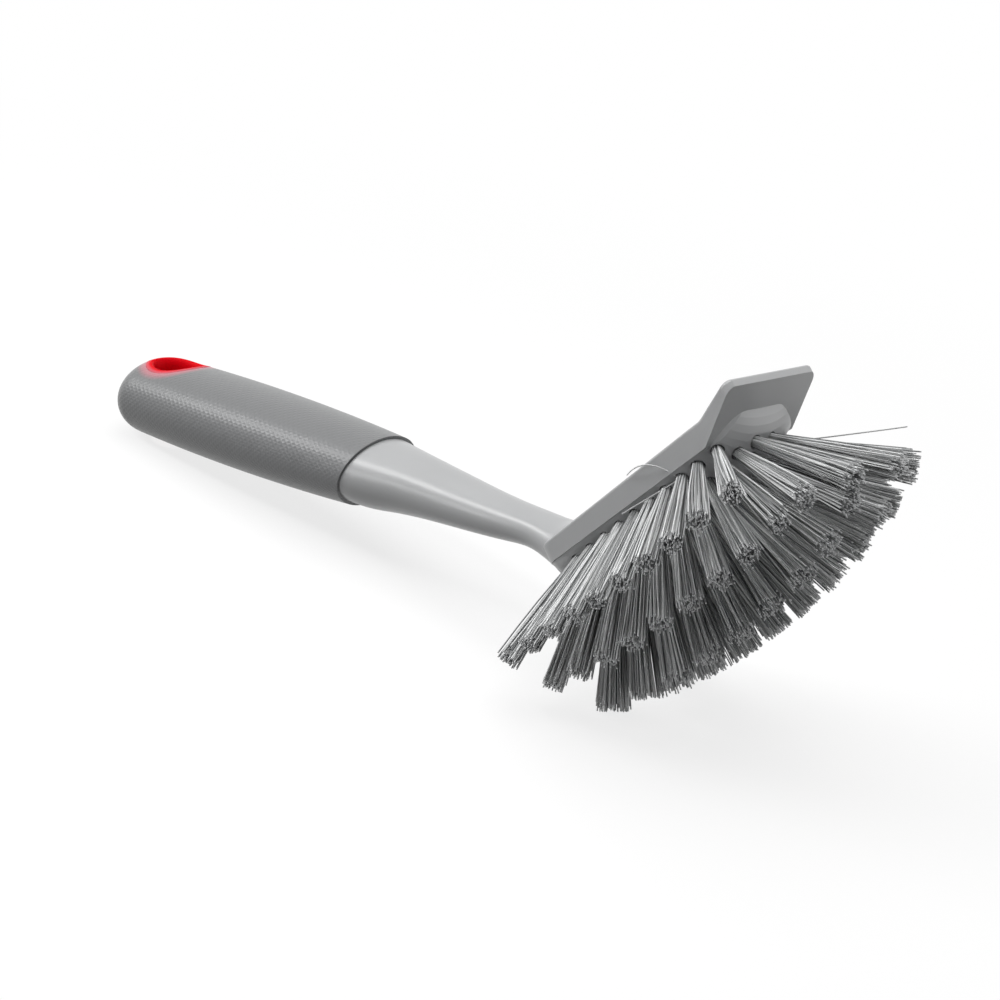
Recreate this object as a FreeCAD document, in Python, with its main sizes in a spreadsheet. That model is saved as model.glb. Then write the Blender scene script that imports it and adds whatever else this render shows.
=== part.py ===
import FreeCAD, Part
import math
import os
import re
import Sketcher
from FreeCAD import Placement, Rotation, Vector

# Dish brush: one moulding makes the head, the neck and a tang, a soft grip is moulded over the tang,
# a red liner lines the hang hole, and tufts of filament are held in the head by flat wire anchors.
# The pieces are drawn with X along the handle towards the head and Z up, from the point where the
# neck meets the back of the head, and are then laid down as the brush rests on a table.

# Driving sizes, in millimetres and degrees
SIZES = {
    "grip_length": (98.4, "grip, from its rounded end to the middle of the seam"),
    "grip_front_height": (20.4, "grip at the front end of its blank, top to bottom"),
    "grip_swell_width": (33.8, "grip at its fattest, across"),
    "grip_swell_height": (24.3, "grip at its fattest, top to bottom"),
    "grip_end_height": (22.2, "grip at its end, top to bottom, before the end is rounded"),
    "grip_end_round": (10.0, "radius that rounds the grip's end, seen from the side"),
    "grip_wall": (2.5, "thickness of the soft skin over the tang"),
    "seam_slant": (17.5, "lean of the seam, top forward"),
    "seam_overrun": (6.0, "tang inside the neck, past the middle of the seam"),
    "tang_setback": (8.1, "soft filling between the tang's end and the liner's mouth"),
    "bond_gap": (0.1, "clearance between mouldings that are bonded or pressed together"),
    "neck_length": (71.4, "bare neck, from the middle of the seam to the head"),
    "neck_drop": (0.9, "fall of the neck's middle line below the grip's, at the head"),
    "neck_seam_width": (28.0, "neck at the seam, a step under the grip's skin, across"),
    "neck_seam_height": (19.8, "neck at the seam, a step under the grip's skin, top to bottom"),
    "neck_shoulder_width": (23.4, "neck just ahead of the seam, across"),
    "neck_shoulder_height": (17.6, "neck just ahead of the seam, top to bottom"),
    "neck_middle_width": (18.5, "neck at its middle, across"),
    "neck_middle_height": (13.9, "neck at its middle, top to bottom"),
    "neck_waist_width": (14.6, "neck at its slimmest, across"),
    "neck_waist_height": (10.8, "neck at its slimmest, top to bottom"),
    "head_tilt": (41.8, "lift of the head from the line of the handle"),
    "head_lift": (1.8, "head's back plane above the grip's middle line, where the neck meets it"),
    "head_back_overlap": (6.2, "head behind the point where the neck meets it"),
    "head_back_width": (20.4, "head at its back end, across"),
    "head_front_width": (35.2, "head where the scraper begins, across"),
    "head_side_wall": (5.3, "depth of the head's side wall under its back plane"),
    "head_back_slope": (0.8, "rise of the head's back from its plane, towards the scraper"),
    "head_back_round": (5.5, "corner radius at the back end of the head"),
    "head_length": (76.4, "head from the neck to the front edge of the scraper"),
    "scraper_width": (35.4, "scraper's front edge, across"),
    "scraper_back": (13.4, "scraper's back, from its bend to its front edge"),
    "scraper_under": (14.1, "scraper's underside, from the side walls to its front edge"),
    "scraper_bend": (5.0, "radius of the scraper's upward bend"),
    "scraper_lift": (21.0, "lift of the scraper from the head's plane"),
    "scraper_thickness": (2.5, "scraper at its front edge"),
    "head_shoulder_round": (40.0, "radius that eases the head's sides into the scraper's"),
    "head_edge_round": (0.8, "small rounding of the edges of the head's back"),
    "scraper_corner": (2.4, "corner radius of the scraper's front edge"),
    "block_inset": (0.2, "bristle block in from the plate's sides"),
    "block_setback": (6.2, "front of the bristle block, back from the scraper's edge"),
    "block_nose_round": (13.0, "corner radius of the block's front, in plan"),
    "block_front_round": (16.0, "radius that rounds the block's front down to the bristle face"),
    "block_back_round": (2.0, "radius that rounds the block's back down to the bristle face"),
    "block_back_crown": (12.0, "depth of the domed bristle face at the back"),
    "block_front_crown": (13.0, "depth of the domed bristle face at the front"),
    "tuft_edge_inset": (2.0, "outer tufts, from the side wall"),
    "tuft_back_margin": (4.3, "first tuft of the outer row, along the head"),
    "tuft_front_margin": (7.9, "last tuft of the outer row, back from the block's front"),
    "tuft_free_length": (34.0, "filament outside the bristle face, in the outer rows"),
    "tuft_middle_extra": (9.0, "longer filament behind the middle of the head, trimmed to a flatter dome"),
    "tuft_side_splay": (57.0, "lean of the outer rows to the side"),
    "tuft_back_lean": (36.0, "lean of the rearmost tufts towards the handle"),
    "tuft_front_lean": (46.0, "lean of the foremost tufts away from the handle"),
    "tuft_hole": (3.6, "hole for a tuft, across"),
    "tuft_hole_depth": (3.6, "hole for a tuft, deep"),
    "tuft_fit": (0.05, "clearance of a tuft in its hole"),
    "tuft_tip_width": (5.4, "tuft at its cut end, across"),
    "tuft_flute": (0.13, "depth of the flutes round a tuft, as a share of its radius"),
    "anchor_thickness": (0.4, "flat wire of an anchor"),
    "anchor_height": (1.6, "anchor along the hole"),
    "anchor_seat": (1.2, "fold of the filaments under an anchor"),
    "hang_hole_place": (14.8, "middle of the hang hole, from the end of the grip"),
    "hang_hole": (13.0, "bore of the liner, across"),
    "liner_wall": (1.6, "wall of the liner"),
    "liner_mouth": (19.0, "mouth of the liner's flare, across"),
    "liner_flare": (5.0, "height of the flare at the liner's upper end"),
    "liner_ledge": (2.4, "soft skin under the liner's lower end"),
}

# Lengths and places that follow other sizes
PLACES = {
    "tang_length": "grip_length - hang_hole_place - liner_mouth / 2 - tang_setback",
    "scraper_start": "head_length - scraper_back",
    "head_side_length": "head_length - scraper_under",
    "block_reach": "head_length - block_setback",
}

doc = FreeCAD.newDocument("dish_brush")
sheet = doc.addObject("Spreadsheet::Sheet", "Sizes")
for row, (name, (value, note)) in enumerate(SIZES.items(), start=1):
    sheet.set(f"A{row}", note)
    sheet.set(f"B{row}", str(value))
    sheet.setAlias(f"B{row}", name)
for row, (name, formula) in enumerate(PLACES.items(), start=len(SIZES) + 1):
    sheet.set(f"B{row}", f"={formula}")
    sheet.setAlias(f"B{row}", name)
doc.recompute()


def size(formula):
    """Number that a formula of the sheet's names comes to."""
    return float(sheet.evalExpression(formula))


def bind(thing, place, formula):
    """Tie one property of an object to a formula of the sheet's names."""
    known = {*SIZES, *PLACES}
    named = re.sub(r"[a-z_]+", lambda word: f"Sizes.{word[0]}" if word[0] in known else word[0], formula)
    thing.setExpression(place, named)


def plain(name, shape):
    """Object whose shape is worked out from the sheet's sizes."""
    thing = doc.addObject("Part::Feature", name)
    thing.Shape = shape
    return thing


# The head's own frame: X along the head, Y across, Z out of its back
HEAD = Placement(Vector(0, 0, size("head_lift")), Rotation(Vector(0, 1, 0), -size("head_tilt")))
ACROSS_HANDLE = Rotation(Vector(1, 1, 1), 120)


# Handle

def section(name, along, rise, width, height, tilt=0.0):
    """Ellipse across the handle, at a place along it, leaned back by tilt."""
    ring = doc.addObject("Part::Ellipse", name)
    bind(ring, "MajorRadius", f"({width}) / 2")
    bind(ring, "MinorRadius", f"({height}) / 2")
    turn = Rotation(Vector(0, 1, 0), -tilt).multiply(ACROSS_HANDLE)
    ring.Placement = Placement(Vector(size(along), 0, size(rise)), turn)
    bind(ring, "Placement.Base.x", along)
    bind(ring, "Placement.Base.z", rise)
    return ring


def loft(name, rings):
    """Smooth solid through rings."""
    solid = doc.addObject("Part::Loft", name)
    solid.Sections = rings
    solid.Solid = True
    return solid


def barrel_arc(start, start_height, stop, stop_height, swell):
    """Formula of the radius of an arc between two places along the handle that swells in its middle."""
    bulge = f"({swell} - ({start_height} + {stop_height}) / 2)"
    chord = f"(({start} - {stop}) ^ 2 + ({start_height} - {stop_height}) ^ 2)"
    return f"({chord} / 4 + {bulge} ^ 2) / (2 * {bulge})"


def grip_form(name, skin):
    """Grip's form, taken in by skin all round: a barrel turned about the handle's line, rounded at its
    end and then widened to an oval."""
    body = doc.addObject("PartDesign::Body", f"{name}_turned")
    front = f"(grip_front_height / 2 - ({skin}))"
    end = f"(grip_end_height / 2 - ({skin}))"
    reach = "(seam_overrun - neck_length)"
    heel = f"(({skin}) - neck_length - grip_length)"
    sketch = outline(body, f"{name}_outline", "XY_Plane", [
        (heel, "0", None),
        (heel, end, (barrel_arc(reach, front, heel, end, f"(grip_swell_height / 2 - ({skin}))"), 1)),
        (reach, front, None),
        (reach, "0", None),
    ])
    turned = body.newObject("PartDesign::Revolution", f"{name}_revolution")
    turned.Profile = sketch
    turned.ReferenceAxis = (sketch, ["H_Axis"])
    turned.Angle = 360
    doc.recompute()
    edge_place = size(heel) + 0.01
    round_edges(body, f"grip_end_round - ({skin}) / 2", lambda edge, at: at.x < edge_place)
    oval = FreeCAD.Matrix()
    oval.scale(1, size(f"(grip_swell_width - 2 * ({skin})) / (grip_swell_height - 2 * ({skin}))"), 1)
    return plain(name, body.Shape.transformGeometry(oval))


def seam_tool(name, forward, gap):
    """Block on one side of the slanted seam plane, a gap away from it."""
    block = doc.addObject("Part::Box", name)
    for side in ("Length", "Width", "Height"):
        bind(block, side, "4 * grip_swell_width")
    span = size("4 * grip_swell_width")
    turn = Rotation(Vector(0, 1, 0), size("seam_slant"))
    start = gap if forward else -span - gap
    corner = turn.multVec(Vector(start, -span / 2, -span / 2))
    block.Placement = Placement(Vector(-size("neck_length"), 0, 0) + corner, turn)
    return block


def shorten(name, form, gap):
    """Tang's form cut off square at its length behind the seam, a gap further on."""
    block = doc.addObject("Part::Box", f"{name}_end")
    for side in ("Length", "Width", "Height"):
        bind(block, side, "4 * grip_swell_width")
    bind(block, "Placement.Base.x", f"-neck_length - tang_length - {gap} - 4 * grip_swell_width")
    bind(block, "Placement.Base.y", "-2 * grip_swell_width")
    bind(block, "Placement.Base.z", "-2 * grip_swell_width")
    return combine("Cut", name, form, block)


def combine(kind, name, *things):
    """Boolean of two or more objects."""
    result = doc.addObject(f"Part::{kind}", name)
    if kind == "MultiFuse":
        result.Shapes = list(things)
    else:
        result.Base, result.Tool = things
    result.Refine = True
    return result


# The neck, which widens and tilts into the back of the head
NECK_STATIONS = (
    (-0.12, "1.07 * neck_seam_width", "1.07 * neck_seam_height"),
    (0.0, "neck_seam_width", "neck_seam_height"),
    (0.167, "neck_shoulder_width", "neck_shoulder_height"),
    (0.444, "neck_middle_width", "neck_middle_height"),
    (0.722, "neck_waist_width", "neck_waist_height"),
    (0.86, "0.98 * neck_waist_width", "0.94 * neck_waist_height"),
)


def neck_form():
    """Neck from behind the seam into the head's back end."""
    rings = []
    for number, (share, width, height) in enumerate(NECK_STATIONS):
        fall = f"-neck_drop * {max(share, 0)}"
        rings.append(section(f"neck_{number}", f"neck_length * ({share} - 1)", fall, width, height))
    bend = size("head_tilt") / 2
    rings.append(section("neck_bend", "-0.02 * neck_length", "-2.6 * neck_drop",
                         "0.86 * head_back_width", "1.26 * neck_waist_height", bend))
    depth = size("block_back_crown") - size("head_side_wall") / 2
    root = HEAD.multVec(Vector(size("head_back_round"), 0, -depth / 2))
    rings.append(section("neck_root", str(root.x), str(root.z),
                         "0.92 * head_back_width", str(depth), 2 * bend))
    return loft("neck", rings)


# Profiles of the head

def outline(body, name, plane, corners):
    """Closed sketch through corners (across, up, arc), where arc is None for a straight edge to the
    next corner, or the radius of an arc and the side that it bulges to."""
    sketch = body.newObject("Sketcher::SketchObject", name)
    origin = [item for item in body.Origin.OriginFeatures if item.Role == plane]
    sketch.AttachmentSupport = [(origin[0], "")]
    sketch.MapMode = "FlatFace"
    points = [Vector(size(across), size(up), 0) for across, up, _ in corners]
    ends = []
    for number, (_, _, arc) in enumerate(corners):
        start, stop = points[number], points[(number + 1) % len(points)]
        edge = Part.LineSegment(start, stop)
        if arc:
            radius, side = size(arc[0]), arc[1]
            chord = stop - start
            sagitta = radius - math.sqrt(radius ** 2 - chord.Length ** 2 / 4)
            left = Vector(-chord.y, chord.x, 0).normalize()
            edge = Part.Arc(start, (start + stop) / 2 + left * side * sagitta, stop)
        index = sketch.addGeometry(edge, False)
        forward = sketch.getPoint(index, 1).distanceToPoint(start) < 1e-6
        ends.append((1, 2) if forward else (2, 1))
        if arc:
            at = sketch.addConstraint(Sketcher.Constraint("Radius", index, radius))
            bind_constraint(sketch, at, f"r{number}", arc[0])
    for number, (across, up, _) in enumerate(corners):
        after = (number + 1) % len(corners)
        joint = Sketcher.Constraint("Coincident", number, ends[number][1], after, ends[after][0])
        sketch.addConstraint(joint)
        for way, axis, formula in (("DistanceX", -2, across), ("DistanceY", -1, up)):
            place = size(formula)
            if abs(place) < 1e-9:
                sketch.addConstraint(Sketcher.Constraint("PointOnObject", number, ends[number][0], axis))
                continue
            corner = (number, ends[number][0])
            pair = (-1, 1, *corner) if place > 0 else (*corner, -1, 1)
            at = sketch.addConstraint(Sketcher.Constraint(way, *pair, abs(place)))
            length = formula if place > 0 else f"-({formula})"
            bind_constraint(sketch, at, f"{way[-1].lower()}{number}", length)
    return sketch


def bind_constraint(sketch, index, name, formula):
    """Tie a sketch's constraint to a formula of the sheet's names."""
    sketch.renameConstraint(index, name)
    bind(sketch, f"Constraints.{name}", formula)


def prism(name, plane, corners, depth):
    """Body of the head's frame: an outline padded evenly to both sides of its plane."""
    body = doc.addObject("PartDesign::Body", name)
    body.Placement = HEAD
    sketch = outline(body, f"{name}_outline", plane, corners)
    pad = body.newObject("PartDesign::Pad", f"{name}_pad")
    pad.Profile = sketch
    pad.SideType = "Symmetric"
    bind(pad, "Length", depth)
    doc.recompute()
    return body


def round_edges(body, radius, wanted):
    """Fillet on the edges of a body's last feature that wanted picks by their middle point."""
    base = body.Tip
    names = []
    for number, edge in enumerate(base.Shape.Edges, start=1):
        middle = edge.valueAt((edge.FirstParameter + edge.LastParameter) / 2)
        if wanted(edge, middle):
            names.append(f"Edge{number}")
    fillet = body.newObject("PartDesign::Fillet", f"{body.Name}_round_{len(body.Group)}")
    fillet.Base = (base, names)
    bind(fillet, "Radius", radius)
    body.Tip = fillet
    doc.recompute()


def upright(edge):
    """Whether an edge is straight and square to the head's back."""
    return abs(edge.tangentAt(edge.FirstParameter).z) > 0.999


HALF_SPREAD = "(head_front_width - head_back_width) / 2 / head_side_length"
# The head's back: a gentle slope, then a bend, then the straight scraper
BEND_RISE = "(scraper_start + head_back_overlap) * tan(head_back_slope)"
LIP_START = "(scraper_start + scraper_bend * (sin(scraper_lift) - sin(head_back_slope)))"
LIP_RISE = f"({BEND_RISE} + scraper_bend * (cos(head_back_slope) - cos(scraper_lift)))"


def front_half(along):
    """Formula of the head's half width at a place along its straight side."""
    return f"(head_back_width / 2 + ({along}) * {HALF_SPREAD})"


def lip_height(along):
    """Formula of the height of the scraper's straight back at a place along the head."""
    return f"({LIP_RISE} + ({along} - {LIP_START}) * tan(scraper_lift))"


def back_height(along):
    """Height of the head's back over its plane at a place along the head."""
    start, radius = size("scraper_start"), size("scraper_bend")
    slope = math.radians(size("head_back_slope"))
    if along < start:
        return (along + size("head_back_overlap")) * math.tan(slope)
    if along > size(LIP_START):
        return size(lip_height(str(along)))
    past = along - start + radius * math.sin(slope)
    return size(BEND_RISE) + radius * math.cos(slope) - math.sqrt(radius ** 2 - past ** 2)


def plate_form():
    """Back plate of the head, with the scraper lip that bends up out of its front."""
    back_half = front_half("-head_back_overlap")
    side = prism("plate_side", "XZ_Plane", [
        ("-head_back_overlap", "0", None),
        ("scraper_start", BEND_RISE, ("scraper_bend", -1)),
        (LIP_START, LIP_RISE, None),
        ("head_length", lip_height("head_length"), None),
        ("head_length", f"{lip_height('head_length')} - scraper_thickness", None),
        ("head_side_length", "-head_side_wall", None),
        ("-head_back_overlap", "-head_side_wall", None),
    ], "2 * head_front_width")
    plan = prism("plate_plan", "XY_Plane", [
        ("-head_back_overlap", f"-{back_half}", None),
        ("head_side_length", "-head_front_width / 2", None),
        ("head_length", "-scraper_width / 2", None),
        ("head_length", "scraper_width / 2", None),
        ("head_side_length", "head_front_width / 2", None),
        ("-head_back_overlap", back_half, None),
    ], "2 * head_front_width")
    side_end = size("head_side_length")
    round_edges(plan, "scraper_corner", lambda edge, at: upright(edge) and at.x > side_end + 1)
    round_edges(plan, "head_shoulder_round", lambda edge, at: upright(edge) and abs(at.x - side_end) < 1)
    round_edges(plan, "head_back_round", lambda edge, at: upright(edge) and at.x < 1)
    blank = combine("Common", "plate_blank", side, plan)
    doc.recompute()
    rim = [number for number, edge in enumerate(blank.Shape.Edges, start=1) if on_back_rim(edge)]
    plate = doc.addObject("Part::Fillet", "plate")
    plate.Base = blank
    plate.Edges = [(number, size("head_edge_round"), size("head_edge_round")) for number in rim]
    return plate


def on_back_rim(edge):
    """Whether an edge of the plate runs round its back, along both sides and the scraper's front edge."""
    inward = HEAD.inverse()
    places = [edge.getParameterByLength(edge.Length * share) for share in (0.1, 0.5, 0.9)]
    points = [inward.multVec(edge.valueAt(place)) for place in places]
    if any(abs(point.z - back_height(point.x)) > 0.01 for point in points):
        return False
    return abs(points[0].x - points[2].x) > 0.01 or points[1].x > size("head_length") - 1


# Bristle block

BACK_ANGLES = (0, 25, 45, 65, 90)
FRONT_ANGLES = (0, 8, 16, 24, 32, 40, 47, 54, 61, 68, 75)


def rounded(value, radius, past):
    """Value after a rounding of some radius has been followed for a length past its start."""
    if past <= 0:
        return value
    return value - radius + math.sqrt(radius ** 2 - past ** 2)


def block_half(along):
    """Half width of the block at a place along it, drawn in at its rounded corners."""
    nose, back = size("block_nose_round"), size("head_back_round")
    turn = size("block_reach") - nose
    half = size(front_half(str(min(along, turn)))) - size("block_inset")
    half = rounded(half, nose, along - turn)
    return rounded(half, back, back - size("head_back_overlap") - along)


def block_crown(along):
    """Depth of the block's middle line at a place along it, rounded off at both ends."""
    front, back = size("block_front_round"), size("block_back_round")
    length = size("block_reach + head_back_overlap")
    share = (along + size("head_back_overlap")) / length
    crown = size("block_back_crown") + share * size("block_front_crown - block_back_crown")
    crown = rounded(crown, front, along - size("block_reach") + front)
    return rounded(crown, back, back - size("head_back_overlap") - along)


def block_wall(along):
    """Depth at which the block's domed face meets its side walls."""
    return min(size("head_side_wall"), 0.6 * block_crown(along))


def block_top(along):
    """Height of the block's hidden top, inside the plate and then inside the scraper's root."""
    past = max(along - size("head_side_length"), 0)
    climb = back_height(size("block_reach")) - size("scraper_thickness / 2 - head_side_wall / 2")
    return climb * past / size("block_reach - head_side_length") - size("head_side_wall / 2")


def block_section(along):
    """Closed wire across the block: flat top, two side walls and a domed face."""
    half, wall, top = block_half(along), block_wall(along), block_top(along)
    corners = [Vector(along, -half, -wall), Vector(along, -half, top),
               Vector(along, half, top), Vector(along, half, -wall)]
    dome = Part.Arc(corners[3], Vector(along, 0, -block_crown(along)), corners[0])
    edges = [Part.LineSegment(*pair).toShape() for pair in zip(corners, corners[1:])]
    return Part.Wire(edges + [dome.toShape()])


def block_form():
    """Bristle block under the plate, a ruled solid through sections that close in at both ends."""
    back, front = size("head_back_round"), size("block_front_round")
    start, reach = size("-head_back_overlap"), size("block_reach")
    places = [start + back * (1 - math.cos(math.radians(angle))) for angle in BACK_ANGLES]
    places += [reach - front * (1 - math.sin(math.radians(angle))) for angle in FRONT_ANGLES]
    block = plain("block", Part.makeLoft([block_section(along) for along in places], True, True))
    block.Placement = HEAD
    return block


# Tufts

# Rows across the head: name, share of the half width, first place in half pitches, count along it
TUFT_ROWS = (
    ("a", -1.0, 0, 10),
    ("b", -0.66, 1, 9),
    ("c", -0.22, 2, 9),
    ("d", 0.22, 3, 8),
    ("e", 0.66, 4, 7),
    ("f", 1.0, 1, 9),
)
OUTER_PITCHES = 9
# Tufts round the block's front: row, share of the half width, place back from the block's front
NOSE_TUFTS = (("b", -0.62, 6.9), ("c", -0.28, 4.4), ("d", 0.28, 4.4), ("e", 0.62, 6.9))
TUFT_LOBES = 8


def face_depth(along, across):
    """Depth of the bristle face under the head's back, at a place on it."""
    half, wall, crown = block_half(along), block_wall(along), block_crown(along)
    radius = (half ** 2 + (crown - wall) ** 2) / (2 * (crown - wall))
    return crown - radius + math.sqrt(radius ** 2 - across ** 2)


def tuft_axis(share, along):
    """Root on the bristle face, outward direction and free length of a tuft, in the handle's frame."""
    across = share * (block_half(along) - size("tuft_edge_inset"))
    first = size("tuft_back_margin")
    last = size("block_reach - tuft_front_margin")
    passed = min((along - first) / (last - first), 1.04)
    lean = -size("tuft_back_lean") + passed * size("tuft_front_lean + tuft_back_lean")
    splay = share * size("tuft_side_splay")
    outward = Vector(math.tan(math.radians(lean)), math.tan(math.radians(splay)), -1).normalize()
    root = HEAD.multVec(Vector(along, across, -face_depth(along, across)))
    inward = (1 - abs(share)) ** 2 * (1 - min(passed, 1))
    length = size("tuft_free_length") + inward * size("tuft_middle_extra")
    return root, HEAD.Rotation.multVec(outward), length


def tuft_axes():
    """Name, root, direction and free length of each tuft, row by row."""
    first = size("tuft_back_margin")
    pitch = (size("block_reach - tuft_front_margin") - first) / OUTER_PITCHES
    axes = []
    for row, share, start, count in TUFT_ROWS:
        places = [(share, first + pitch * (start / 2 + step)) for step in range(count)]
        places += [(side, size("block_reach") - inset) for name, side, inset in NOSE_TUFTS if name == row]
        for number, (side, along) in enumerate(places, start=1):
            axes.append((f"tuft_{row}_{number:02d}", *tuft_axis(side, along)))
    return axes


def fluted_ring(centre, direction, radius):
    """Closed star-shaped wire square to a direction."""
    turn = Rotation(Vector(0, 0, 1), direction)
    points = []
    for corner in range(2 * TUFT_LOBES):
        reach = radius * (1 if corner % 2 == 0 else 1 - size("tuft_flute"))
        angle = math.pi * corner / TUFT_LOBES
        points.append(centre + turn.multVec(Vector(reach * math.cos(angle), reach * math.sin(angle), 0)))
    return Part.makePolygon(points + points[:1])


def anchor_solid(root, direction, gap):
    """Flat wire across the hole, above the fold of the filaments, grown by gap all round."""
    wide = size("tuft_hole - 2 * tuft_fit") + 2 * gap
    thick = size("anchor_thickness") + 2 * gap
    high = size("anchor_height") + 2 * gap
    solid = Part.makeBox(wide, thick, high, Vector(-wide / 2, -thick / 2, -gap))
    base = root - direction * size("tuft_hole_depth - anchor_seat")
    solid.Placement = Placement(base, Rotation(Vector(0, 0, 1), direction))
    return solid


def tuft_solid(root, direction, length):
    """Bundle of filaments: straight in its hole, spreading to its cut end, open round its anchor."""
    inner = size("tuft_hole / 2 - tuft_fit")
    foot = root - direction * size("tuft_hole_depth - tuft_fit")
    tip = root + direction * length
    rings = [fluted_ring(foot, direction, inner), fluted_ring(root, direction, inner),
             fluted_ring(tip, direction, size("tuft_tip_width / 2"))]
    bundle = Part.makeLoft(rings, True, True)
    return bundle.cut(anchor_solid(root, direction, size("tuft_fit")))


def hole_solid(root, direction):
    """Blind hole for a tuft, open well past the bristle face."""
    foot = root - direction * size("tuft_hole_depth")
    return Part.makeCylinder(size("tuft_hole / 2"), size("tuft_hole_depth + tuft_hole"), foot, direction)


# Hang hole

def spool(name, bore, mouth, foot):
    """Round hole in the grip, from a foot at some height upwards, flared at the upper face."""
    along = "hang_hole_place - grip_length - neck_length"
    core = doc.addObject("Part::Cylinder", f"{name}_core")
    bind(core, "Radius", f"({bore}) / 2")
    bind(core, "Height", "2 * grip_end_height")
    bind(core, "Placement.Base.x", along)
    bind(core, "Placement.Base.z", foot)
    flare = doc.addObject("Part::Cone", f"{name}_flare")
    bind(flare, "Radius1", f"({bore}) / 2")
    bind(flare, "Radius2", f"({mouth}) / 2")
    bind(flare, "Height", "liner_flare")
    bind(flare, "Placement.Base.x", along)
    bind(flare, "Placement.Base.z", "grip_end_height / 2 - liner_flare + liner_wall / 2")
    return combine("MultiFuse", name, core, flare)


# Pieces

grip_outer = grip_form("grip_outer", "0")
tang = shorten("tang", grip_form("tang_form", "grip_wall"), "0")
tang_room = shorten("tang_room", grip_form("tang_room_form", "grip_wall - bond_gap"), "bond_gap")
grip_blank = combine("Cut", "grip_blank", grip_outer, seam_tool("ahead_of_seam", True, -size("bond_gap")))
neck = combine("Cut", "bare_neck", neck_form(), seam_tool("behind_seam", False, 0))
plate = plate_form()
block = block_form()
axes = tuft_axes()
holes = plain("tuft_holes", Part.makeCompound([hole_solid(root, way) for _, root, way, _ in axes]))
ledge = "liner_ledge - grip_end_height / 2"
liner_body = spool("liner_body", "hang_hole + 2 * liner_wall", "liner_mouth", ledge)
liner_bore = spool("liner_bore", "hang_hole", "liner_mouth - 2 * liner_wall", "-grip_end_height")
liner_seat = spool("liner_seat", "hang_hole + 2 * liner_wall + 2 * bond_gap",
                   "liner_mouth + 2 * bond_gap", f"{ledge} - bond_gap")
liner_room = combine("MultiFuse", "liner_room", liner_bore, liner_seat)
anchors = Part.makeCompound([anchor_solid(root, way, 0) for _, root, way, _ in axes])
moulding = combine("MultiFuse", "moulding", tang, neck, plate, block)
doc.recompute()

nodes = [
    combine("Cut", "head_and_neck", moulding, holes),
    combine("Cut", "soft_grip", combine("Cut", "hollow_grip", grip_blank, tang_room), liner_room),
    combine("Cut", "hang_hole_liner", combine("Common", "liner_blank", liner_body, grip_outer), liner_bore),
]
nodes += [plain(name, tuft_solid(root, way, length)) for name, root, way, length in axes]
nodes.append(plain("tuft_anchors", anchors))
doc.recompute()

# Every object has to be sound before anything is written
for thing in doc.Objects:
    if {"Invalid", "Error"} & set(thing.State):
        raise RuntimeError(f"{thing.Name} failed: {thing.State}")
for node in nodes:
    if node.Shape.isNull() or not node.Shape.isValid() or not node.Shape.Solids:
        raise RuntimeError(f"{node.Label} has no sound shape")


# Rest on a table, on the grip's end and the lowest filaments, over the middle of the outline

def low_point(shapes, turn):
    """Lowest point of some shapes after a turn."""
    points = [turn.multVec(point) for shape in shapes for point in shape.tessellate(0.2)[0]]
    return min(points, key=lambda point: point.z)


def rest_placement():
    """Turn and shift that lay the brush down."""
    grip = [nodes[1].Shape]
    tufts = [node.Shape for node in nodes[3:-1]]
    tilt = 0.0
    for _ in range(8):
        turn = Rotation(Vector(0, 1, 0), math.degrees(tilt))
        heel, bristle = low_point(grip, turn), low_point(tufts, turn)
        tilt += math.atan2(bristle.z - heel.z, bristle.x - heel.x)
    turned = [node.Shape.copy() for node in nodes]
    for shape in turned:
        shape.Placement = Placement(Vector(), turn)
    box = Part.makeCompound(turned).optimalBoundingBox(False)
    return Placement(-Vector(box.Center.x, box.Center.y, box.ZMin), turn)


rest = rest_placement()
for node in nodes:
    node.Placement = rest
    node.Label = node.Name

os.makedirs("parts", exist_ok=True)
for node in nodes:
    node.Shape.exportStep(f"parts/{node.Label}.step")
print(len(nodes), "pieces; rest turn", round(math.degrees(rest.Rotation.Angle), 2))
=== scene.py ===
import math

import bpy
import numpy as np
from mathutils import Matrix, Quaternion, Vector


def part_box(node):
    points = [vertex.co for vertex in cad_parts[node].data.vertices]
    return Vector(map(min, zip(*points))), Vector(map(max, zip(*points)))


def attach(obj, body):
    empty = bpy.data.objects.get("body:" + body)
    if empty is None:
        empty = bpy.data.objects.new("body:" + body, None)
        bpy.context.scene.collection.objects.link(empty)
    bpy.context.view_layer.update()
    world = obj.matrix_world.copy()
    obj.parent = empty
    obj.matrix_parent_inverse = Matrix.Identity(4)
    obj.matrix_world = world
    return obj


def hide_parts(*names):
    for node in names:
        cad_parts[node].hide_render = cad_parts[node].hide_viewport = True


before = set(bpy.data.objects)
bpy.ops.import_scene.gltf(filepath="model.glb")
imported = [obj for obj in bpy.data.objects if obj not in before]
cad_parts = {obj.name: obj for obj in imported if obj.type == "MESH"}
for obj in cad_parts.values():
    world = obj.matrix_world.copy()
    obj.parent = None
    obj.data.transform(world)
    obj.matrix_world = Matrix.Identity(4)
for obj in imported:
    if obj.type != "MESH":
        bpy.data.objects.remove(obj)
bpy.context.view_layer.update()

# Head, neck and scraper lip
# One injection moulding of grey polypropylene with a satin skin from its tool. The CAD solid has its true
# shape, so it only gets its finish here.
MELT_CLOUD = 0.022
SKIN_GRAIN = 0.0004
GRAIN_HEIGHT = 0.00003


def linear(code):
    """sRGB hex colour as linear RGBA: each channel c becomes ((c + 0.055) / 1.055) to the power 2.4."""
    channels = np.array([int(code[place:place + 2], 16) for place in (1, 3, 5)]) / 255
    return (*np.where(channels > 0.04045, ((channels + 0.055) / 1.055) ** 2.4, channels / 12.92), 1.0)


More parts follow.
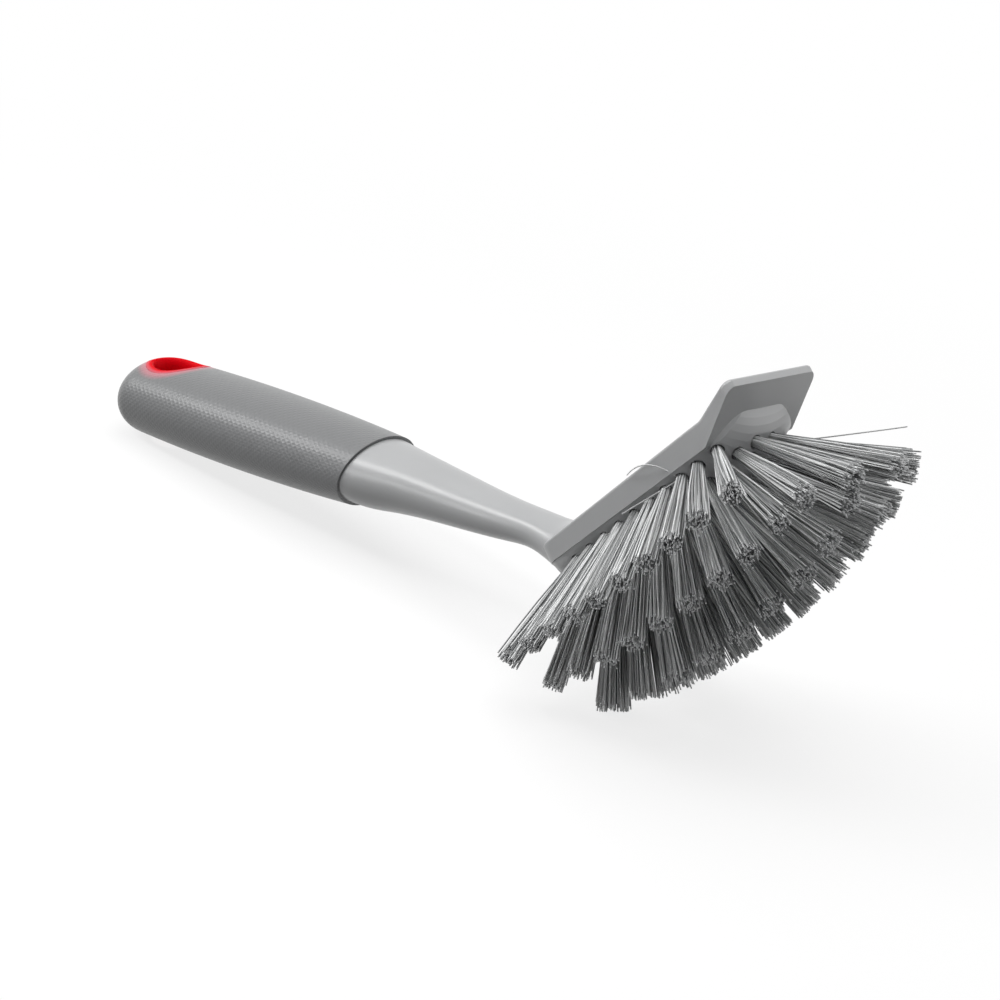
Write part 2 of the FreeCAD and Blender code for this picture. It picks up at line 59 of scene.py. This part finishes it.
def add(tree, kind, settings=None, **inputs):
    """Node of a kind in a tree, with its settings and with values or links for its sockets, which are named
    with _ for a space or numbered after a leading _."""
    node = tree.nodes.new(kind)
    for name, value in (settings or {}).items():
        setattr(node, name, value)
    for name, value in inputs.items():
        socket = node.inputs[int(name[1:])] if name[0] == "_" else node.inputs[name.replace("_", " ")]
        if isinstance(value, bpy.types.NodeSocket):
            tree.links.new(value, socket)
        else:
            socket.default_value = value
    return node


def new_material(name):
    """Material with a Principled shader on its output; returns the material, its tree and the shader."""
    material = bpy.data.materials.new(name)
    material.use_nodes = True
    tree = material.node_tree
    return material, tree, tree.nodes["Principled BSDF"]


def dress(node, material):
    """Gives a CAD node's mesh this material alone."""
    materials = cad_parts[node].data.materials
    materials.clear()
    materials.append(material)


moulded, tree, shader = new_material("satin polypropylene, moulded")
place = add(tree, "ShaderNodeTexCoord").outputs["Object"]
# Melt flow clouds the colour over a few centimetres, and the tool's skin is a grain of about 0.4 mm
cloud = add(tree, "ShaderNodeTexNoise", Vector=place, Scale=1 / MELT_CLOUD, Detail=2.0)
grain = add(tree, "ShaderNodeTexNoise", Vector=place, Scale=1 / SKIN_GRAIN, Detail=1.0)
tone = add(tree, "ShaderNodeMix", {"data_type": "RGBA"}, _0=cloud.outputs["Fac"],
           _6=linear("#9b9c9d"), _7=linear("#a2a3a4"))
polish = add(tree, "ShaderNodeMapRange", Value=cloud.outputs["Fac"], To_Min=0.34, To_Max=0.42)
skin = add(tree, "ShaderNodeBump", Strength=0.12, Distance=GRAIN_HEIGHT, Height=grain.outputs["Fac"])
tree.links.new(tone.outputs[2], shader.inputs["Base Color"])
tree.links.new(polish.outputs["Result"], shader.inputs["Roughness"])
tree.links.new(skin.outputs["Normal"], shader.inputs["Normal"])
shader.inputs["IOR"].default_value = 1.49
shader.inputs["Coat Weight"].default_value = 0.5
shader.inputs["Coat Roughness"].default_value = 0.3
dress("head_and_neck", moulded)

# Soft grip
# A sleeve of thermoplastic rubber moulded over the tang, with a fine raised diamond pattern on its skin.
# Round the mouth of the hang hole the rubber is thin, and the red of the liner shows through it.
GRIP_TILT = math.radians(8.097)
GRIP_WIDTH = 0.0338
GRIP_HEIGHT = 0.0243
HOLE_MIDDLE = Vector((-0.110164, 0.0, 0.012183))
PATTERN_PITCH = 0.0019
PATTERN_RADIUS = 0.0140
PATTERN_HEIGHT = 0.00008
UNEVEN_PATCH = 0.003
UNEVEN_SHARE = 2.5
GLOW_START = 0.0096
GLOW_END = 0.0124
GLOW_SHARE = 0.85


def hole_frame(tree, place):
    """Place in the hang hole's frame, with x along the grip and z up the hole, and distance from its axis."""
    turned = add(tree, "ShaderNodeMapping", {"vector_type": "TEXTURE"}, Vector=place,
                 Location=HOLE_MIDDLE, Rotation=(0.0, -GRIP_TILT, 0.0)).outputs["Vector"]
    flat = add(tree, "ShaderNodeVectorMath", {"operation": "MULTIPLY"}, _0=turned, _1=(1, 1, 0))
    radius = add(tree, "ShaderNodeVectorMath", {"operation": "LENGTH"}, _0=flat.outputs["Vector"])
    return turned, radius.outputs["Value"]


rubber, tree, shader = new_material("thermoplastic rubber, diamond grained")
place = add(tree, "ShaderNodeTexCoord").outputs["Object"]
turned, radius = hole_frame(tree, place)
split = add(tree, "ShaderNodeSeparateXYZ", Vector=turned)
oval = add(tree, "ShaderNodeMath", {"operation": "DIVIDE"}, _0=split.outputs["Y"],
           _1=GRIP_WIDTH / GRIP_HEIGHT)
angle = add(tree, "ShaderNodeMath", {"operation": "ARCTAN2"}, _0=oval.outputs[0], _1=split.outputs["Z"])
girth = add(tree, "ShaderNodeMath", {"operation": "MULTIPLY"}, _0=angle.outputs[0], _1=PATTERN_RADIUS)
# Two sets of slanting ridges cross in diamonds, which break the light on the grip's shoulder into sparks
ridges = []
for way in ("ADD", "SUBTRACT"):
    slant = add(tree, "ShaderNodeMath", {"operation": way}, _0=split.outputs["X"], _1=girth.outputs[0])
    phase = add(tree, "ShaderNodeMath", {"operation": "MULTIPLY"}, _0=slant.outputs[0],
                _1=2 * math.pi / PATTERN_PITCH)
    ridges.append(add(tree, "ShaderNodeMath", {"operation": "SINE"}, _0=phase.outputs[0]).outputs[0])
diamond = add(tree, "ShaderNodeMath", {"operation": "MAXIMUM"}, _0=ridges[0], _1=ridges[1])
uneven = add(tree, "ShaderNodeTexNoise", Vector=place, Scale=1 / UNEVEN_PATCH, Detail=2.0)
height = add(tree, "ShaderNodeMath", {"operation": "MULTIPLY_ADD"}, _0=uneven.outputs["Fac"],
             _1=UNEVEN_SHARE, _2=diamond.outputs[0])
relief = add(tree, "ShaderNodeBump", Strength=0.32, Distance=PATTERN_HEIGHT, Height=height.outputs[0])
# Painted shade: the grey follows the relief, darker in the diamonds' grooves and lighter on their ridges; the
# uneven patches also vary it at random
groove_shade_and_patch_tone = add(tree, "ShaderNodeMapRange", Value=height.outputs[0], From_Min=-1.0, From_Max=1.0 + UNEVEN_SHARE)
tone = add(tree, "ShaderNodeMix", {"data_type": "RGBA"}, _0=groove_shade_and_patch_tone.outputs["Result"],
           _6=linear("#6d6e6f"), _7=linear("#737475"))
glow = add(tree, "ShaderNodeMapRange", {"interpolation_type": "SMOOTHSTEP"}, Value=radius,
           From_Min=GLOW_START, From_Max=GLOW_END, To_Min=GLOW_SHARE, To_Max=0.0)
upper = add(tree, "ShaderNodeMath", {"operation": "GREATER_THAN"}, _0=split.outputs["Z"], _1=0.0)
glow = add(tree, "ShaderNodeMath", {"operation": "MULTIPLY"}, _0=glow.outputs["Result"], _1=upper.outputs[0])
skin = add(tree, "ShaderNodeMix", {"data_type": "RGBA"}, _0=glow.outputs[0], _6=tone.outputs[2],
           _7=linear("#c07a84"))
tree.links.new(skin.outputs[2], shader.inputs["Base Color"])
tree.links.new(relief.outputs["Normal"], shader.inputs["Normal"])
shader.inputs["Roughness"].default_value = 0.36
shader.inputs["IOR"].default_value = 1.5
shader.inputs["Sheen Weight"].default_value = 0.15
shader.inputs["Sheen Roughness"].default_value = 0.4
dress("soft_grip", rubber)

# Hang-hole liner
# A tube of red polypropylene with a flared mouth, moulded in before the grip. Its thin lip lies on the
# grip's skin and follows it, and the red pales there, where the lip thins out over the grey.
LINER_BORE = 0.0065
LINER_WALL = 0.0016
LINER_FOOT = -0.0087
LINER_MOUTH = 0.0095
LINER_SIDES = 96
FLARE_START = 0.0069
FLARE_STEPS = 9
LIP_START = 0.0082
LIP_RISE = 0.00012
# The lip's rings, each as a share of its width and how far it is turned down into the rubber
LIP_EDGE = ((0.5, 0.0), (0.97, 0.0), (1.0, LIP_RISE), (1.0, 3 * LIP_RISE))
# The ring round the mouth, and the least height over the hole's middle, where the grip's skin is read
SKIN_NEAR = 1.015 * LINER_MOUTH
SKIN_FAR = 1.3 * LINER_MOUTH
SKIN_FLOOR = 0.004
PALE_START = 0.0080
PALE_SHARE = 0.85
LINER_CLOUD = 0.005
LINER_DIMPLE = 0.00005

red, tree, shader = new_material("red polypropylene, moulded")
place = add(tree, "ShaderNodeTexCoord").outputs["Object"]
_, radius = hole_frame(tree, place)
pale = add(tree, "ShaderNodeMapRange", {"interpolation_type": "SMOOTHSTEP"}, Value=radius,
           From_Min=PALE_START, From_Max=LINER_MOUTH, To_Max=PALE_SHARE)
# The red clouds a little over 5 mm, and its dull skin mirrors hardly anything, so the bore looks deep
cloud = add(tree, "ShaderNodeTexNoise", Vector=place, Scale=1 / LINER_CLOUD, Detail=2.0)
tone = add(tree, "ShaderNodeMix", {"data_type": "RGBA"}, _0=cloud.outputs["Fac"],
           _6=linear("#ce0010"), _7=linear("#e00014"))
faded = add(tree, "ShaderNodeMix", {"data_type": "RGBA"}, _0=pale.outputs["Result"], _6=tone.outputs[2],
            _7=linear("#cf6f7a"))
skin = add(tree, "ShaderNodeBump", Strength=0.1, Distance=LINER_DIMPLE, Height=cloud.outputs["Fac"])
tree.links.new(faded.outputs[2], shader.inputs["Base Color"])
tree.links.new(skin.outputs["Normal"], shader.inputs["Normal"])
shader.inputs["Roughness"].default_value = 0.5
shader.inputs["Specular IOR Level"].default_value = 0.05


def mesh_points(node):
    """Points of a CAD node's mesh, as rows of x, y and z."""
    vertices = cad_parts[node].data.vertices
    points = np.empty(3 * len(vertices))
    vertices.foreach_get("co", points)
    return points.reshape(-1, 3)


def skin_terms(along, across):
    """Terms of the grip's skin round the hole: powers of the place along it, even powers across it."""
    u, v = along / LINER_MOUTH, (across / LINER_MOUTH) ** 2
    return np.stack([u ** 0, u, u ** 2, u ** 3, u ** 4, v, v ** 2, u * v, u ** 2 * v], -1)


hole_axes = np.array(((math.cos(GRIP_TILT), 0, math.sin(GRIP_TILT)), (0, 1, 0),
                      (-math.sin(GRIP_TILT), 0, math.cos(GRIP_TILT))))
along, across, height = hole_axes @ (mesh_points("soft_grip") - np.array(HOLE_MIDDLE)).T
reach = np.hypot(along, across)
near = (reach > SKIN_NEAR) & (reach < SKIN_FAR) & (height > SKIN_FLOOR)
skin_shape = np.linalg.lstsq(skin_terms(along[near], across[near]), height[near], rcond=None)[0]


def liner_grid():
    """Closed shell round the hole: up the bore, out on a quarter ellipse into the flare, along the lip at
    a small rise over the grip's skin, then down the outside to the foot, turned about the hole's axis.
    A ring's height is its base plus rise times the way from there to the skin, less its drop."""
    turn = np.linspace(0, math.pi / 2, FLARE_STEPS)
    zero = np.zeros(FLARE_STEPS)
    flare = np.stack([LINER_BORE + (LIP_START - LINER_BORE) * (1 - np.cos(turn)), zero + FLARE_START,
                      np.sin(turn), zero], 1)
    lip = [(LIP_START + (LINER_MOUTH - LIP_START) * share, FLARE_START, 1, drop) for share, drop in LIP_EDGE]
    outer = LINER_BORE + LINER_WALL
    profile = np.concatenate([[(LINER_BORE, LINER_FOOT, 0, 0)], flare, lip,
                              [(outer, FLARE_START, 0, 0), (outer, LINER_FOOT, 0, 0)]])
    radius, base, rise, drop = profile.T
    angle = np.linspace(0, 2 * math.pi, LINER_SIDES, endpoint=False)[:, None]
    along, across = radius * np.cos(angle), radius * np.sin(angle)
    skin = skin_terms(along, across) @ skin_shape + LIP_RISE
    height = base + (skin - base) * rise - drop
    return np.array(HOLE_MIDDLE) + np.stack([along, across, height], -1) @ hole_axes


def put(name, mesh, material):
    """Object of a mesh with its material, linked to the scene at the origin."""
    mesh.materials.append(material)
    piece = bpy.data.objects.new(name, mesh)
    bpy.context.scene.collection.objects.link(piece)
    return piece


rings = liner_grid()
turns, steps = rings.shape[:2]
index = np.arange(turns * steps).reshape(turns, steps)
after = np.roll(index, -1, axis=0)
quads = np.stack([index, np.roll(index, -1, axis=1), np.roll(after, -1, axis=1), after], -1).reshape(-1, 4)
mesh = bpy.data.meshes.new("hang hole liner")
mesh.from_pydata(rings.reshape(-1, 3).tolist(), [], quads.tolist())
mesh.polygons.foreach_set("use_smooth", np.ones(len(quads), bool))
liner = put("liner_with_lip", mesh, red)
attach(liner, "root")
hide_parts("hang_hole_liner")

# Wire anchors
# Short strips of flat tinned wire, driven across each hole over the fold of its filaments. They sit
# deep in the holes and hardly show.
DRAWN_MARK = 0.0003
wire, tree, shader = new_material("tinned steel wire, drawn")
place = add(tree, "ShaderNodeTexCoord").outputs["Object"]
# The drawing die leaves the tin bright in some places and dull in others, about 0.3 mm apart
drawn = add(tree, "ShaderNodeTexNoise", Vector=place, Scale=1 / DRAWN_MARK, Detail=2.0)
polish = add(tree, "ShaderNodeMapRange", Value=drawn.outputs["Fac"], To_Min=0.25, To_Max=0.45)
tree.links.new(polish.outputs["Result"], shader.inputs["Roughness"])
shader.inputs["Base Color"].default_value = linear("#b9bbbd")
shader.inputs["Metallic"].default_value = 1.0
dress("tuft_anchors", wire)

# Filament tufts
# Each tuft is a bundle of crimp-free nylon filaments, folded over its anchor and trimmed after
# filling, so the bundle is tight in its hole, spreads towards its end and is cut a little unevenly.
FILAMENT_RADIUS = 0.00019
FILAMENTS = 120
FILAMENT_SIDES = 5
FILAMENT_STEPS = 6
CUT_BURR = 0.0005
HOLE_DEPTH = 0.0036
BURIED = 0.0015
ROOT_SPREAD = 0.00130
TIP_SPREADS = {"a": 0.0027, "b": 0.0029, "c": 0.0036, "d": 0.0037, "e": 0.0037, "f": 0.0029}
PLAIN_LENGTH = 0.034
TIP_SCATTER = 0.0004
LENGTH_SCATTER = 0.027
TRIM = 0.97
BOW = 0.00025
GOLDEN_ANGLE = math.radians(137.508)
SKEW = (0.31, 0.52, 0.79)
LIGHT_THROUGH = 0.03
random = np.random.default_rng(11)

nylon, tree, shader = new_material("nylon filament, extruded")
# Every filament has a grey of its own, from smoky to nearly white, a pale cut end and a little light
# that comes through it
tint = add(tree, "ShaderNodeAttribute", {"attribute_name": "tint"})
cut = add(tree, "ShaderNodeAttribute", {"attribute_name": "cut"})
tone = add(tree, "ShaderNodeMix", {"data_type": "RGBA"}, _0=tint.outputs["Fac"],
           _6=linear("#585a5b"), _7=linear("#eceded"))
burr = add(tree, "ShaderNodeMix", {"data_type": "RGBA"}, _0=cut.outputs["Fac"], _6=tone.outputs[2],
           _7=linear("#d2d3d4"))
tree.links.new(burr.outputs[2], shader.inputs["Base Color"])
shader.inputs["Roughness"].default_value = 0.32
shader.inputs["IOR"].default_value = 1.53
through = add(tree, "ShaderNodeBsdfTranslucent", Color=burr.outputs[2])
blend = add(tree, "ShaderNodeMixShader", _0=LIGHT_THROUGH, _1=shader.outputs[0], _2=through.outputs[0])
tree.links.new(blend.outputs[0], tree.nodes["Material Output"].inputs["Surface"])

head_middle = np.array(sum(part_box("tuft_anchors"), Vector())) / 2


def tuft_axis(node):
    """Root on the bristle face, outward unit direction and free length of a tuft: the main axis of its
    solid's points, from the end that lies nearer the head."""
    points = mesh_points(node)
    middle = points.mean(0)
    direction = np.linalg.svd(points - middle, full_matrices=False)[2][0]
    direction = direction * np.sign(direction @ (middle - head_middle))
    along = (points - middle) @ direction
    foot = middle + along.min() * direction
    return foot + HOLE_DEPTH * direction, direction, along.max() - along.min() - HOLE_DEPTH


def side_vectors(direction):
    """Two unit vectors across a direction: its cross product with a skew vector, and its cross product with
    that one."""
    side = np.cross(direction, SKEW)
    side = side / np.linalg.norm(side, axis=-1, keepdims=True)
    up = np.cross(direction, side)
    return side, up / np.linalg.norm(up, axis=-1, keepdims=True)


def filament_paths(root, direction, length, spread):
    """Middle lines of one tuft's filaments: each runs from a place on a sunflower disc in the hole to the
    same place on a wider disc at the tip, with some scatter, and bows a little between them. A tip that
    comes to the floor lies on it. Returns the lines and the two vectors across the tuft."""
    side, up = side_vectors(direction)
    order = np.arange(FILAMENTS) + 0.5
    turn = order * GOLDEN_ANGLE + random.uniform(0, 2 * math.pi)
    disc = np.sqrt(order / FILAMENTS)[:, None] * np.stack([np.cos(turn), np.sin(turn)], 1)
    tip = disc * spread * (length / PLAIN_LENGTH) ** 2 + random.normal(0, TIP_SCATTER, (FILAMENTS, 2))
    bow = random.normal(0, BOW, (FILAMENTS, 2))
    reach = length * np.minimum(TRIM + random.normal(0, LENGTH_SCATTER, FILAMENTS), 1)
    out = np.linspace(-BURIED, reach - CUT_BURR, FILAMENT_STEPS - 1, axis=1)
    out = np.concatenate([out, reach[:, None]], 1)
    share = np.clip(out / length, 0, None)[..., None]
    across = disc[:, None] * ROOT_SPREAD * (1 - share) + tip[:, None] * share
    across = across + bow[:, None] * np.sin(math.pi * share)
    paths = root + out[..., None] * direction + across[..., :1] * side + across[..., 1:] * up
    paths[..., 2] = np.maximum(paths[..., 2], FILAMENT_RADIUS)
    return paths, side, up


def tube_grid(paths, side, up):
    """Rings round paths: every path point plus a filament's radius times the cosine and sine of even angles
    on two side vectors."""
    angles = np.arange(FILAMENT_SIDES) * 2 * math.pi / FILAMENT_SIDES
    ring = np.cos(angles)[:, None] * side + np.sin(angles)[:, None] * up
    return paths[:, :, None, :] + FILAMENT_RADIUS * ring


def mesh_of_tubes(name, rings, tint):
    """Mesh of tubes from an array of rings: quads along each tube and one face on its cut end. The other
    end is open, inside the head or a tuft. Each tube has its tint, and its last ring is marked as cut."""
    tubes, steps, sides, _ = rings.shape
    index = np.arange(tubes * steps * sides).reshape(tubes, steps, sides)
    after = np.roll(index, -1, axis=2)
    quads = np.stack([index[:, :-1], after[:, :-1], after[:, 1:], index[:, 1:]], -1).reshape(-1, 4)
    caps = index[:, -1].reshape(-1, sides)
    mesh = bpy.data.meshes.new(name)
    mesh.vertices.add(index.size)
    mesh.vertices.foreach_set("co", rings.astype(np.float32).ravel())
    loops = np.concatenate([quads.ravel(), caps.ravel()])
    totals = np.concatenate([np.full(len(quads), 4), np.full(len(caps), sides)])
    mesh.loops.add(len(loops))
    mesh.loops.foreach_set("vertex_index", loops.astype(np.int32))
    mesh.polygons.add(len(totals))
    mesh.polygons.foreach_set("loop_start", (np.cumsum(totals) - totals).astype(np.int32))
    mesh.polygons.foreach_set("use_smooth", np.repeat([True, False], [len(quads), len(caps)]))
    mesh.attributes.new("tint", "FLOAT", "POINT")
    mesh.attributes["tint"].data.foreach_set("value", np.repeat(tint, steps * sides).astype(np.float32))
    cut = np.zeros((tubes, steps, sides), np.float32)
    cut[:, -1] = 1
    mesh.attributes.new("cut", "FLOAT", "POINT")
    mesh.attributes["cut"].data.foreach_set("value", cut.ravel())
    mesh.update()
    mesh.validate()
    return mesh


for row, spread in TIP_SPREADS.items():
    members = sorted(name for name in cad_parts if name.startswith(f"tuft_{row}_"))
    rings = np.concatenate([tube_grid(*filament_paths(*tuft_axis(name), spread)) for name in members])
    mesh = mesh_of_tubes(f"filaments row {row}", rings, random.uniform(0, 1, len(rings)))
    filaments = put(f"filaments_row_{row}", mesh, nylon)
    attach(filaments, "root")
    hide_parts(*members)

# Sprung filaments
# A few nylon filaments that have worked loose from their tufts in use. One stands up behind the lip, one
# is bent back over the head's edge and one lies across its neighbours' roots.
SPRUNG = np.array((
    ((0.0865, 0.0147, 0.0764), (0.0967, 0.0265, 0.0809), (0.1066, 0.0379, 0.0856)),
    ((0.0803, -0.0143, 0.0686), (0.0720, -0.0195, 0.0728), (0.0655, -0.0152, 0.0636)),
    ((0.0803, -0.0145, 0.0685), (0.0738, -0.0153, 0.0613), (0.0673, -0.0160, 0.0541)),
))
SPRUNG_STEPS = 12
SPRUNG_TINT = 0.6


def bent_paths(corners, steps):
    """Quadratic curves from start, bend and end points: (1 - t)^2 start + 2 t (1 - t) bend + t^2 end."""
    t = np.linspace(0, 1, steps)[None, :, None]
    start, bend, end = np.moveaxis(corners, 1, 0)[:, :, None]
    return (1 - t) ** 2 * start + 2 * t * (1 - t) * bend + t ** 2 * end


side, up = side_vectors(SPRUNG[:, 2] - SPRUNG[:, 0])
rings = tube_grid(bent_paths(SPRUNG, SPRUNG_STEPS), side[:, None, None], up[:, None, None])
mesh = mesh_of_tubes("sprung filaments", rings, np.full(len(SPRUNG), SPRUNG_TINT))
sprung = put("sprung_filaments", mesh, nylon)
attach(sprung, "root")

# Floor
# A pale studio sweep, not part of the brush. It keeps the brush's soft shadow and fades to plain white
# away from it.
FLOOR_REACH = 12.0
FADE_REACH = 0.5
FADE_LEAST = 0.76
PAPER_GLOW = 0.06
PAPER_WHITE = 0.93
PAPER_BOUNCE = 0.2


def seen_share(tree):
    """1 where the camera, a mirror or glass looks at the surface, 0 for the light it sends to the brush."""
    path = add(tree, "ShaderNodeLightPath")
    seen = add(tree, "ShaderNodeMath", {"operation": "MAXIMUM"}, _0=path.outputs["Is Camera Ray"],
               _1=path.outputs["Is Glossy Ray"])
    seen = add(tree, "ShaderNodeMath", {"operation": "MAXIMUM"}, _0=seen.outputs[0],
               _1=path.outputs["Is Transmission Ray"])
    return seen.outputs[0]


paper, tree, shader = new_material("white paper sweep")
place = add(tree, "ShaderNodeTexCoord").outputs["Object"]
away = add(tree, "ShaderNodeVectorMath", {"operation": "LENGTH"}, _0=place)
fade = add(tree, "ShaderNodeMapRange", {"interpolation_type": "SMOOTHSTEP"}, Value=away.outputs["Value"],
           From_Min=0.0, From_Max=FADE_REACH, To_Min=FADE_LEAST)
# The paper looks white, but sends little light up, so that the brush's underside stays dark
seen = seen_share(tree)
level = add(tree, "ShaderNodeMapRange", Value=seen, To_Min=PAPER_GLOW, To_Max=1.0)
plain = add(tree, "ShaderNodeEmission", Color=linear("#ffffff"), Strength=level.outputs["Result"])
blend = add(tree, "ShaderNodeMixShader", _0=fade.outputs["Result"], _1=shader.outputs[0],
            _2=plain.outputs[0])
tone = add(tree, "ShaderNodeMix", {"data_type": "RGBA"}, _0=seen,
           _6=(PAPER_BOUNCE, PAPER_BOUNCE, PAPER_BOUNCE, 1), _7=(PAPER_WHITE, PAPER_WHITE, PAPER_WHITE, 1))
tree.links.new(blend.outputs[0], tree.nodes["Material Output"].inputs["Surface"])
tree.links.new(tone.outputs[2], shader.inputs["Base Color"])
shader.inputs["Roughness"].default_value = 0.9
corners = np.array([(-1, -1, 0), (1, -1, 0), (1, 1, 0), (-1, 1, 0)]) * FLOOR_REACH
mesh = bpy.data.meshes.new("floor")
mesh.from_pydata(corners.tolist(), [], [(0, 1, 2, 3)])
floor = put("floor", mesh, paper)

# Studio light
# Softboxes overhead, behind and on the near tufts, a strip that draws the highlight down the handle, and
# a low fill under the lip. The surround is weak, and white where it is seen or mirrored.
SURROUND = 0.1
# Name, place, aim, length and width, beam in degrees and power in watts
LIGHTS = (
    ("overhead softbox", (-0.1, 0.0, 0.9), (-0.02, 0.0, 0.04), (0.9, 0.9), 180, 7.0),
    ("strip softbox", (-0.52, -0.46, 0.60), (-0.02, 0.0, 0.04), (0.9, 0.16), 180, 5.0),
    ("side softbox", (-0.20, -0.58, 0.16), (0.07, 0.0, 0.02), (0.2, 0.2), 24, 0.026),
    ("back softbox", (0.40, 0.62, 0.36), (0.06, 0.0, 0.04), (0.5, 0.5), 180, 0.9),
    ("low fill", (0.45, -0.18, 0.10), (0.10, 0.0, 0.05), (0.25, 0.25), 50, 0.045),
)
world = bpy.data.worlds.new("studio")
bpy.context.scene.world = world
world.use_nodes = True
tree = world.node_tree
level = add(tree, "ShaderNodeMapRange", Value=seen_share(tree), To_Min=SURROUND, To_Max=1.0)
tree.links.new(level.outputs["Result"], tree.nodes["Background"].inputs["Strength"])
tree.nodes["Background"].inputs["Color"].default_value = linear("#ffffff")
for name, spot, target, (length, width), beam, power in LIGHTS:
    lamp = bpy.data.lights.new(name, "AREA")
    lamp.shape = "RECTANGLE"
    lamp.size, lamp.size_y = length, width
    lamp.spread = math.radians(beam)
    lamp.energy = power
    holder = bpy.data.objects.new(name, lamp)
    holder.location = spot
    # A lamp's z axis points away from its target, and its length runs as nearly along x as that allows
    away = (holder.location - Vector(target)).normalized()
    side = (Vector((1, 0, 0)) - away * away.x).normalized()
    holder.rotation_euler = Matrix((side, away.cross(side), away)).transposed().to_euler()
    holder.visible_camera = False
    bpy.context.scene.collection.objects.link(holder)

# Camera
# The photograph was taken from a little above, in front of the head's near side, and is rolled so that
# the brush hangs across the frame.
EYE = Vector((0.395617, -0.481105, 0.273210))
AIM = Vector((0.013041, 0.004748, 0.031388))
ROLL = math.radians(12.263)
camera = bpy.data.cameras.new("photograph")
camera.sensor_width = 36
camera.lens = 90
viewer = bpy.data.objects.new("photograph", camera)
viewer.location = EYE
viewer.rotation_mode = "QUATERNION"
viewer.rotation_quaternion = (AIM - EYE).to_track_quat("-Z", "Y") @ Quaternion((0, 0, 1), ROLL)
bpy.context.scene.collection.objects.link(viewer)
bpy.context.scene.camera = viewer
bpy.context.scene.view_settings.view_transform = "Standard"
